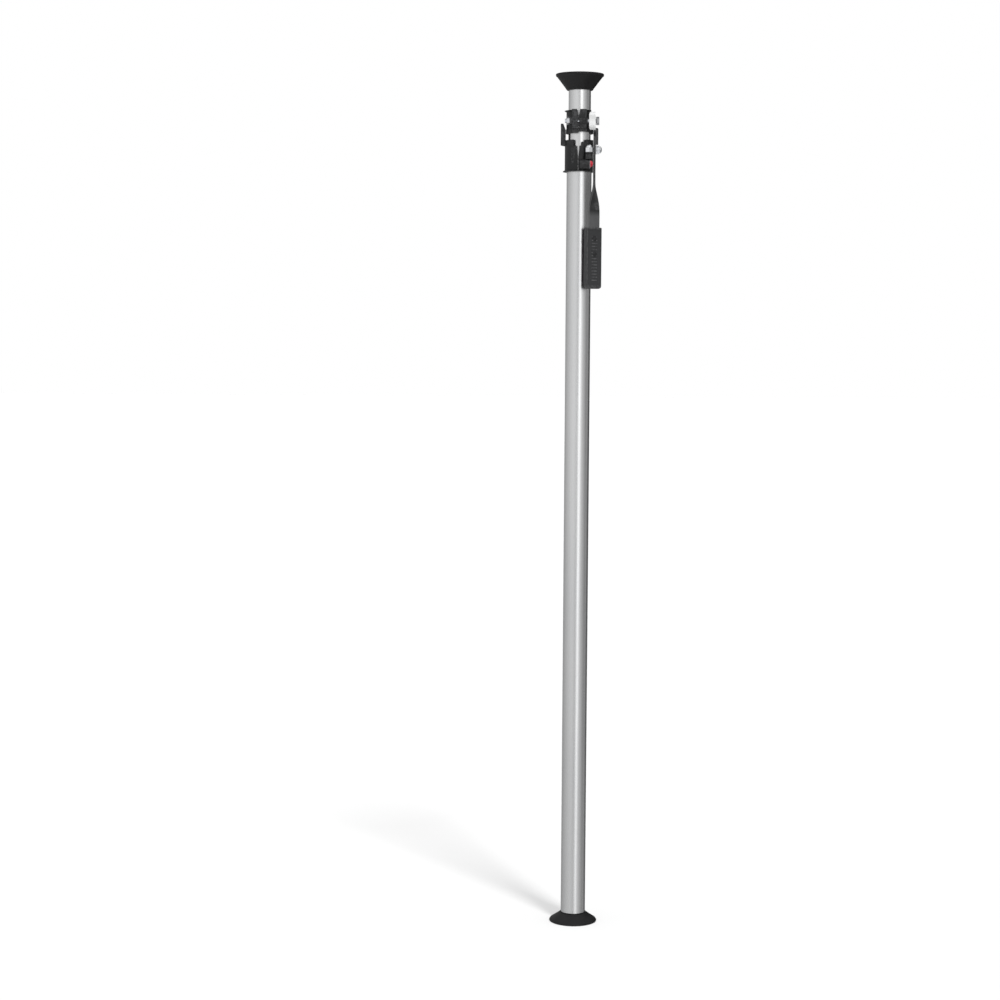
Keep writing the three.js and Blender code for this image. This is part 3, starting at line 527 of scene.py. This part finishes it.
def foot_rubber():
    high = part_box("foot")[1]
    radius, tube = radius_of("foot"), radius_of("lower_tube")
    socket = tube + SEAT_GAP
    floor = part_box("lower_tube")[0].z - SEAT_GAP
    neck, ledge = tube + FOOT_LEDGE_REACH, high.z - FOOT_LEDGE_DROP
    groove_start, groove_end = FOOT_GROOVE
    cone = sagging(
        (radius - FOOT_CONE_IN, FOOT_CONE_HEIGHT),
        (neck + FOOT_LEDGE_ROUND[0], ledge - FOOT_LEDGE_ROUND[1]),
        (-FOOT_SAG, -FOOT_SAG), [i / 10 for i in range(10)],
    )
    profile = [
        (0, 0), (groove_start, 0), (groove_start + FOOT_GROOVE_SLOPE, FOOT_GROOVE_DEPTH),
        (groove_end - FOOT_GROOVE_SLOPE, FOOT_GROOVE_DEPTH), (groove_end, 0),
        *arc((radius - FOOT_RIM_ROUND, FOOT_RIM_ROUND), FOOT_RIM_ROUND, -90, 15, 8),
        (radius - FOOT_SHOULDER_IN, FOOT_SHOULDER_HEIGHT),
        *cone,
        (neck, ledge), (tube + FOOT_LIP_FOOT, ledge), (tube + FOOT_LIP_TOP, high.z),
        (socket, high.z), (socket, floor), (0, floor),
    ]
    return piece_from(
        spun_shape(profile), "foot_rubber", RUBBER, "lower_body", ("foot",),
    )


ease_edges(foot_rubber(), 0.2 * MM, 2)

# %% [markdown]
# The ceiling cup is the foot's taller brother turned over: a thin rim with a soft lip, a
# cone that hollows slightly, and a collar where it grips the inner tube. Its pressing face
# has the shallow rings that such pads have to hold on plaster. Its profile is walked from
# the socket, up the outside and over the rings to the axis.

# %% The ceiling cup
CUP_NECK = 3.6 * MM
CUP_NECK_ROUND = 0.8 * MM
CUP_CONE_START = 1.0 * MM
CUP_CONE_IN, CUP_CONE_DROP = 1.6 * MM, 4.4 * MM
CUP_SAG = (0.3 * MM, 0.5 * MM)
CUP_LIP_ROUND, CUP_LIP_IN, CUP_LIP_DROP = 1.2 * MM, 1.4 * MM, 3.2 * MM
CUP_RIM_ROUND = 1.5 * MM
CUP_RINGS = [radius * MM for radius in (37, 31, 25, 19)]
CUP_RING_TOP, CUP_RING_FLOOR, CUP_RING_DEPTH = 1.5 * MM, 1 * MM, 0.6 * MM


def cup_rubber():
    low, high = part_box("top_cup")
    radius, tube = radius_of("top_cup"), radius_of("inner_tube")
    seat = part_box("inner_tube")[1].z + SEAT_GAP
    socket = tube + SEAT_GAP
    neck = tube + CUP_NECK
    cone = sagging(
        (neck, low.z + CUP_CONE_START), (radius - CUP_CONE_IN, high.z - CUP_CONE_DROP),
        CUP_SAG, [i / 12 for i in range(1, 12)],
    )
    rings = []
    for ring in CUP_RINGS:
        rings += [
            (ring + CUP_RING_TOP, high.z), (ring + CUP_RING_FLOOR, high.z - CUP_RING_DEPTH),
            (ring - CUP_RING_FLOOR, high.z - CUP_RING_DEPTH), (ring - CUP_RING_TOP, high.z),
        ]
    neck_centre = (neck - CUP_NECK_ROUND, low.z + CUP_NECK_ROUND)
    profile = [
        (0, seat), (socket, seat), (socket, low.z),
        *arc(neck_centre, CUP_NECK_ROUND, -90, -10, 4),
        *cone,
        *arc((radius - CUP_LIP_IN, high.z - CUP_LIP_DROP), CUP_LIP_ROUND, -60, 0, 4),
        *arc((radius - CUP_RIM_ROUND, high.z - CUP_RIM_ROUND), CUP_RIM_ROUND, 0, 90, 6),
        *rings,
        (0, high.z),
    ]
    return piece_from(
        spun_shape(profile), "cup_rubber", RUBBER, "inner_tube_body", ("top_cup",),
    )


ease_edges(cup_rubber(), 0.15 * MM, 2)

# %% [markdown]
# The two collars carry the mechanism. Their slots, ears and bosses are already cut in the
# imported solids, so each is dressed from its own copy with a casting's small radii.

# %% The collars
eased_copy("lower_collar", CASTING, "lower_body", 0.35 * MM, 3)
eased_copy("upper_collar", CASTING, "upper_collar_body", 0.35 * MM, 3)

# %% [markdown]
# The lever is one strap of steel: a cam plate with its curved track, then a twist that brings
# the strap flat to the hand. A punched edge is eased just enough to catch a line of light. The
# twist is a fine row of flats, so none of them is dissolved, or its sheen would break. Gloss
# doesn't see the lever, because a grey card stands in for it further down.

# %% The lever
lever = eased_copy("lever", POWDER, "lever_body", 0.3 * MM, 2, 40, flat=0.05)
lever.visible_glossy = False
for rivet in ("grip_rivet_1", "grip_rivet_2"):
    eased_copy(rivet, CASTING, "lever_body", 0.3 * MM, 3, 40)

# %% [markdown]
# The grip is a moulded rubber sleeve with a raised border round a sunk panel on its wide
# faces. It is built upright at the origin, from rounded sections that are stacked up its
# length and bridged, and is then turned and carried to the lever's end.

# %% The grip
GRIP_TURN = 0.47
GRIP_WIDTH = 29 * MM
GRIP_THICKNESS = 15.4 * MM
GRIP_CORNER = 1.2 * MM
GRIP_CORNER_STEPS = 5
GRIP_LEAST_CORNER = 0.8 * MM
GRIP_END_ROUND = 4.5 * MM
GRIP_TOP_ROUND = 1.4 * MM
GRIP_PLAIN = 2 * MM
GRIP_BORDER = 0.5 * MM
GRIP_PANEL_SINK = 0.7 * MM
GRIP_EASE = 0.25 * MM


def grip_place():
    low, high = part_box("lever_grip")
    return Vector(((low.x + high.x) / 2, (low.y + high.y) / 2, low.z)), high.z - low.z


def rounded_section(shape, width, thickness, corner, height):
    """Draws one closed section of the sleeve and hands back its corners and edges."""
    points = []
    for quarter, (sx, sy) in enumerate(((1, 1), (-1, 1), (-1, -1), (1, -1))):
        for x, y in arc(
            (sx * (width / 2 - corner), sy * (thickness / 2 - corner)), corner,
            90 * quarter, 90 * quarter + 90, GRIP_CORNER_STEPS,
        ):
            points.append(shape.verts.new((x, y, height)))
    edges = [shape.edges.new(pair) for pair in zip(points, points[1:] + points[:1])]
    return points, edges


def grip_levels(length):
    """How far each section of the sleeve is inset, and its height, from the end upwards."""
    levels = []
    for i in range(7):
        a = radians(90 * i / 6)
        levels.append((GRIP_END_ROUND * (1 - sin(a)), GRIP_END_ROUND * (1 - cos(a))))
    shoulder = length - GRIP_TOP_ROUND
    levels += [(0, GRIP_END_ROUND + GRIP_PLAIN), (0, shoulder - GRIP_PLAIN)]
    for i in range(1, 5):
        a = radians(90 * i / 4)
        levels.append((GRIP_TOP_ROUND * (1 - cos(a)), shoulder + GRIP_TOP_ROUND * sin(a)))
    return levels


def turned_to_lever(shape, base):
    turn = Matrix.Translation(base) @ Matrix.Rotation(GRIP_TURN, 4, "Z")
    bmesh.ops.transform(shape, matrix=turn, verts=shape.verts)


def grip_sleeve():
    base, length = grip_place()
    shape = bmesh.new()
    sections = [
        rounded_section(
            shape, GRIP_WIDTH - 2 * inset, GRIP_THICKNESS - 2 * inset,
            max(GRIP_CORNER - inset / 2, GRIP_LEAST_CORNER), height,
        )
        for inset, height in grip_levels(length)
    ]
    for (_, below), (_, above) in zip(sections, sections[1:]):
        bmesh.ops.bridge_loops(shape, edges=below + above)
    for points, _ in (sections[0], sections[-1]):
        shape.faces.new(points)
    bmesh.ops.remove_doubles(shape, verts=shape.verts, dist=MERGE)
    bmesh.ops.recalc_face_normals(shape, faces=shape.faces)
    wide = [
        f for f in shape.faces
        if abs(f.normal.y) > 0.99 and f.calc_area() > 0.4 * GRIP_WIDTH * length
    ]
    bmesh.ops.inset_individual(shape, faces=wide, thickness=GRIP_BORDER, depth=0)
    bmesh.ops.inset_individual(
        shape, faces=wide, thickness=GRIP_PANEL_SINK, depth=-GRIP_PANEL_SINK,
    )
    turned_to_lever(shape, base)
    piece = piece_from(
        shape, "grip_sleeve", GRIP_RUBBER, "lever_body", ("lever_grip",),
    )
    return ease_edges(piece, GRIP_EASE, 2, 30)


grip_sleeve()

# %% [markdown]
# The ribs stop the hand from sliding off. Each is a bar with eased edges, sunk a little into
# the panel, and a loop sets them out between two shares of the grip's length.

# %% The grip's ribs
RIB_COUNT = 15
RIB_FIRST_SHARE, RIB_LAST_SHARE = 0.14, 0.84
RIB_SIZE = (11 * MM, 1.0 * MM, 2 * MM)
RIB_SINK = 0.6 * MM
RIB_EASE = 0.35 * MM


def grip_ribs():
    base, length = grip_place()
    shape = bmesh.new()
    first, last = RIB_FIRST_SHARE * length, RIB_LAST_SHARE * length
    for i in range(RIB_COUNT):
        height = first + (last - first) * i / (RIB_COUNT - 1)
        for side in (-1, 1):
            bar = bmesh.ops.create_cube(shape, size=1)["verts"]
            size = Matrix.Diagonal((*RIB_SIZE, 1))
            place = Matrix.Translation((0, side * (GRIP_THICKNESS / 2 - RIB_SINK), height))
            bmesh.ops.transform(shape, matrix=place @ size, verts=bar)
    bmesh.ops.bevel(
        shape, geom=list(shape.edges), offset=RIB_EASE, segments=2, affect="EDGES",
        profile=0.5, material=-1,
    )
    turned_to_lever(shape, base)
    return piece_from(shape, "grip_ribs", GRIP_RUBBER, "lever_body")


grip_ribs()

# %% [markdown]
# The studs carry an M8 thread. It could be a helix, but at this size a row of close-set
# grooves looks the same and is one spun profile: each groove is a V at the thread's pitch,
# and the stud's ends get the chamfer that lets a nut start.

# %% Studs with threads
THREAD_PITCH = 1.25 * MM
THREAD_DEPTH = 0.55 * MM
THREAD_CREST_SHARES = (0.08, 0.2)
THREAD_ROOT_SHARES = (0.55, 0.65)
STUD_CHAMFER = 0.8 * MM
STUD_SPIN_STEPS = 48


def threaded_stud(node, body, across=False):
    low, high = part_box(node)
    middle = (low + high) / 2
    radius = (high.y - low.y) / 2
    length = high.x - low.x if across else high.z - low.z
    threaded = length - 2 * STUD_CHAMFER
    count = int(threaded / THREAD_PITCH)
    pitch = threaded / count
    start = -length / 2
    profile = [(0, start), (radius - STUD_CHAMFER, start)]
    for i in range(count):
        foot = start + STUD_CHAMFER + i * pitch
        profile += [(radius, foot + share * pitch) for share in THREAD_CREST_SHARES]
        profile += [(radius - THREAD_DEPTH, foot + share * pitch) for share in THREAD_ROOT_SHARES]
    profile += [(radius, -start - STUD_CHAMFER), (radius - STUD_CHAMFER, -start), (0, -start)]
    shape = placed(spun_shape(profile, STUD_SPIN_STEPS), middle, across)
    piece = piece_from(shape, node + "_threaded", ZINC, body, (node,))
    piece.data.set_sharp_from_angle(angle=radians(35))
    return piece


threaded_stud("clamp_stud", "upper_collar_body", across=True)
threaded_stud("pivot_stud", "lower_body", across=True)
threaded_stud("lock_stud", "lower_body")

# %% [markdown]
# The nuts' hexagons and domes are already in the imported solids, so each nut and washer is an
# eased copy. They ride on their own bodies: those of the clamp lift with the upper collar,
# and those of the pivot and the lock stay on the lower one.

# %% Washers and nuts
def eased_set(names, material, body, width=0.25 * MM):
    for name in names:
        eased_copy(name, material, body, width, 3, 25)


eased_set(("stop_washer", "stop_nut"), DULL_ZINC, "upper_collar_body", 0.4 * MM)
eased_set(("clamp_washer",), POWDER, "upper_collar_body")
eased_set(("pivot_washer", "pivot_nut"), ZINC, "lower_body")
eased_set(("button_bezel",), DULL_ZINC, "lower_body", 0.2 * MM)
eased_set(("lock_washer",), POWDER, "lower_body")
eased_set(("clamp_nut",), ZINC, "upper_collar_body", 0.5 * MM)
eased_set(("cap_nut",), ZINC, "lower_body", 0.4 * MM)

# %% [markdown]
# The red button is a shallow dome on a round skirt, turned finely so that its highlight is
# clean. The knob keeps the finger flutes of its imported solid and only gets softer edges.

# %% Button and knob
BUTTON_DOME = 5.0 * MM
BUTTON_SKIRT = 7.6 * MM
BUTTON_STEM_RADIUS = 2.4 * MM
BUTTON_SHOULDER = 0.3 * MM
BUTTON_ARC_STEPS = 12


def button_dome():
    low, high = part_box("release_button")
    middle = (low + high) / 2
    radius = (high.z - low.z) / 2
    tip = (high.x - low.x) / 2
    base = tip - BUTTON_DOME
    skirt = base - BUTTON_SKIRT
    ball = (radius ** 2 + BUTTON_DOME ** 2) / (2 * BUTTON_DOME)
    edge = asin(radius / ball)
    dome = []
    for i in range(BUTTON_ARC_STEPS):
        a = edge * (1 - i / BUTTON_ARC_STEPS)
        dome.append((ball * sin(a), tip - ball + ball * cos(a)))
    profile = [
        (0, -tip), (BUTTON_STEM_RADIUS, -tip), (BUTTON_STEM_RADIUS, skirt), (radius, skirt),
        (radius, base - BUTTON_SHOULDER), *dome, (0, tip),
    ]
    shape = placed(spun_shape(profile, SMALL_SPIN_STEPS), middle, across=True)
    piece = piece_from(
        shape, "button_dome", RED, "button_body", ("release_button",),
    )
    return ease_edges(piece, 0.25 * MM, 2, 40)


button_dome()
eased_copy("clamp_knob", GREY, "knob_body", 0.5 * MM, 3, 30)

# %% [markdown]
# What stays as packed: the pin in the cam track, the grub screws, the spring and the nylon
# pieces. Each only needs its finish.

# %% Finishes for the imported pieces
PACKED_FINISHES = {
    "cam_pin": ZINC, "collar_screw_front": CASTING, "collar_screw_rear": CASTING,
    "button_spring": ZINC, "tube_bush": NYLON, "inner_tube_glide": NYLON,
    "foot_plug": NYLON, "cup_plug": NYLON,
}
for node, material in PACKED_FINISHES.items():
    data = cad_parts[node].data
    data.materials.clear()
    data.materials.append(material)
print("finished", len(PACKED_FINISHES), "packed pieces")

# %% [markdown]
# The studio is a white floor and a white world. What the camera, gloss and glass see is pure
# white, while the light that falls on the pole stays at a plain level. The floor adds a
# little of its own white to what it receives, so it reads as paper, and keeps the shadow.

# %% Floor and world
WORLD_LEVEL = 0.75
FLOOR_GLOW = 0.286
FLOOR_ALBEDO = 0.6
FLOOR_HALF_WIDTH = 30


def studio_object(shape, name):
    mesh = bpy.data.meshes.new(name)
    shape.to_mesh(mesh)
    shape.free()
    thing = bpy.data.objects.new(name, mesh)
    bpy.context.scene.collection.objects.link(thing)
    material = bpy.data.materials.new(name + "_light")
    material.use_nodes = True
    tree = material.node_tree
    tree.nodes.remove(tree.nodes["Principled BSDF"])
    mesh.materials.append(material)
    return thing, tree


def shows(tree, shader):
    tree.links.new(shader, tree.nodes["Material Output"].inputs["Surface"])


def seen_directly(tree):
    """1 for camera, glossy and transmission rays, 0 for the rest."""
    path = tree.nodes.new("ShaderNodeLightPath").outputs
    seen = arithmetic(tree, "MAXIMUM", path["Is Camera Ray"], path["Is Glossy Ray"])
    return arithmetic(tree, "MAXIMUM", seen, path["Is Transmission Ray"])


def white_world():
    world = bpy.data.worlds.new("studio")
    bpy.context.scene.world = world
    world.use_nodes = True
    tree = world.node_tree
    background = tree.nodes["Background"]
    background.inputs["Color"].default_value = (1, 1, 1, 1)
    level = ranged(tree, seen_directly(tree), WORLD_LEVEL, 1)
    tree.links.new(level, background.inputs["Strength"])


def white_floor():
    shape = bmesh.new()
    bmesh.ops.create_grid(shape, x_segments=1, y_segments=1, size=FLOOR_HALF_WIDTH)
    floor, tree = studio_object(shape, "floor")
    floor.visible_glossy = False
    diffuse = tree.nodes.new("ShaderNodeBsdfDiffuse")
    diffuse.inputs["Color"].default_value = (FLOOR_ALBEDO, FLOOR_ALBEDO, FLOOR_ALBEDO, 1)
    glow = tree.nodes.new("ShaderNodeEmission")
    level = ranged(tree, seen_directly(tree), 0, FLOOR_GLOW)
    tree.links.new(level, glow.inputs["Strength"])
    both = tree.nodes.new("ShaderNodeAddShader")
    tree.links.new(diffuse.outputs["BSDF"], both.inputs[0])
    tree.links.new(glow.outputs["Emission"], both.inputs[1])
    shows(tree, both.outputs["Shader"])


white_world()
white_floor()
print("the floor glows at", FLOOR_GLOW, "under a world of", WORLD_LEVEL)

# %% [markdown]
# Metal shows what surrounds it, so a photographer wraps a tube in panels: bright on the left
# and in front, one narrow strip lamp right of the camera, and falling to dark on the right.
# The wrap is one tall cylinder that only glossy rays see. Its brightness follows the angle
# round the pole, from behind the left, through the front, to behind the right. A curve node
# holds values up to 1, so the levels go in halved and come out doubled. Low down, all levels
# draw together towards one grey, as they do near a floor.

# %% The wrap that the metal mirrors
WRAP_RADIUS = 2.6
WRAP_BOTTOM = -1.2
WRAP_HEIGHT = 4.7
WRAP_STEPS = 96
WRAP_LOW_TOP = 0.9
WRAP_LOW_SHARE = 0.54
WRAP_LOW_LEVEL = 0.3
WRAP_CURVE_TOP = 2
WRAP_LEVELS = (
    (-180, 0.35), (-150, 0.42), (-108, 0.66), (-81, 0.79), (-60, 0.9), (-47, 0.96),
    (-27, 1.0), (-9, 0.88), (1, 0.70), (9, 0.98), (18, 1.95), (25, 1.98), (30, 1.5),
    (38, 1.0), (47, 0.8), (58, 0.68), (69, 0.57), (81, 0.41), (95, 0.32), (108, 0.46),
    (125, 0.1), (150, 0.06), (180, 0.08),
)


def seen_by_gloss_alone(panel):
    panel.visible_camera = False
    panel.visible_diffuse = False
    panel.visible_shadow = False
    panel.visible_transmission = False


def wrap_wall():
    shape = bmesh.new()
    ring = bmesh.ops.create_circle(
        shape, cap_ends=False, radius=WRAP_RADIUS, segments=WRAP_STEPS,
    )
    edges = list({edge for vert in ring["verts"] for edge in vert.link_edges})
    wall = bmesh.ops.extrude_edge_only(shape, edges=edges)["geom"]
    tops = [part for part in wall if isinstance(part, bmesh.types.BMVert)]
    bmesh.ops.translate(shape, verts=tops, vec=(0, 0, WRAP_HEIGHT))
    bmesh.ops.translate(shape, verts=shape.verts, vec=(0, 0, WRAP_BOTTOM))
    return shape


def level_by_angle(tree, place):
    """The wrap's level at a place: its angle round the pole, looked up on a curve."""
    forwards = arithmetic(tree, "MULTIPLY", place["Y"], -1)
    angle = arithmetic(tree, "ARCTAN2", place["X"], forwards)
    ramp = tree.nodes.new("ShaderNodeFloatCurve")
    tree.links.new(ranged(tree, angle, 0, 1, -pi, pi), ramp.inputs["Value"])
    curve = ramp.mapping.curves[0]
    spots = [((degrees + 180) / 360, level / WRAP_CURVE_TOP) for degrees, level in WRAP_LEVELS]
    curve.points[0].location = spots[0]
    curve.points[1].location = spots[-1]
    for spot in spots[1:-1]:
        curve.points.new(*spot)
    ramp.mapping.update()
    return arithmetic(tree, "MULTIPLY", ramp.outputs["Value"], WRAP_CURVE_TOP)


def wrap():
    panel, tree = studio_object(wrap_wall(), "wrap")
    seen_by_gloss_alone(panel)
    coordinates = tree.nodes.new("ShaderNodeTexCoord")
    split = tree.nodes.new("ShaderNodeSeparateXYZ")
    tree.links.new(coordinates.outputs["Object"], split.inputs["Vector"])
    place = split.outputs
    share = ranged(tree, place["Z"], WRAP_LOW_SHARE, 1, WRAP_BOTTOM, WRAP_LOW_TOP)
    glow = tree.nodes.new("ShaderNodeEmission")
    level = ranged(tree, share, WRAP_LOW_LEVEL, level_by_angle(tree, place))
    tree.links.new(level, glow.inputs["Strength"])
    shows(tree, glow.outputs["Emission"])


wrap()
print("the wrap has", len(WRAP_LEVELS), "levels")

# %% [markdown]
# Between the collar and the grip the tube's right side mirrors the lever from a few
# millimetres away, which would be a hard black band. The photographer's answer is a dark grey
# card, curved about the pole and well clear of it. Gloss alone sees it.

# %% Grey card
CARD_LEVEL = 0.2
CARD_RADIUS = 0.15
CARD_BOTTOM, CARD_TOP = 1.27, 1.40
CARD_START, CARD_END = 44, 130
CARD_STEPS = 16


def grey_card():
    shape = bmesh.new()
    start = radians(CARD_START)
    x, y = CARD_RADIUS * sin(start), -CARD_RADIUS * cos(start)
    ends = [shape.verts.new((x, y, z)) for z in (CARD_BOTTOM, CARD_TOP)]
    side = shape.edges.new(ends)
    bmesh.ops.spin(
        shape, geom=[*ends, side], cent=(0, 0, 0), axis=(0, 0, 1),
        angle=radians(CARD_END - CARD_START), steps=CARD_STEPS, use_merge=False,
    )
    card, tree = studio_object(shape, "grey_card")
    seen_by_gloss_alone(card)
    glow = tree.nodes.new("ShaderNodeEmission")
    glow.inputs["Strength"].default_value = CARD_LEVEL
    shows(tree, glow.outputs["Emission"])


grey_card()
print("the card's level is", CARD_LEVEL)

# %% [markdown]
# One soft key light comes from the front right, high enough to throw the pole's shadow to the
# back left along the floor. It is far away, so the floor is lit alike everywhere. Metal mirrors
# the wrap alone, so the light is hidden from gloss.

# %% Key light
KEY_DIRECTION = Vector((0.232, -0.458, 0.857))
KEY_SPREAD = radians(9)
KEY_STRENGTH = 1.75


def key_light():
    light = bpy.data.lights.new("key", "SUN")
    light.energy = KEY_STRENGTH
    light.angle = KEY_SPREAD
    lamp = bpy.data.objects.new("key", light)
    lamp.matrix_world = KEY_DIRECTION.to_track_quat("Z", "Y").to_matrix().to_4x4()
    lamp.visible_glossy = False
    bpy.context.scene.collection.objects.link(lamp)
    print("the key light comes from", [round(v, 2) for v in KEY_DIRECTION])


key_light()
bpy.context.scene.view_settings.view_transform = "Standard"
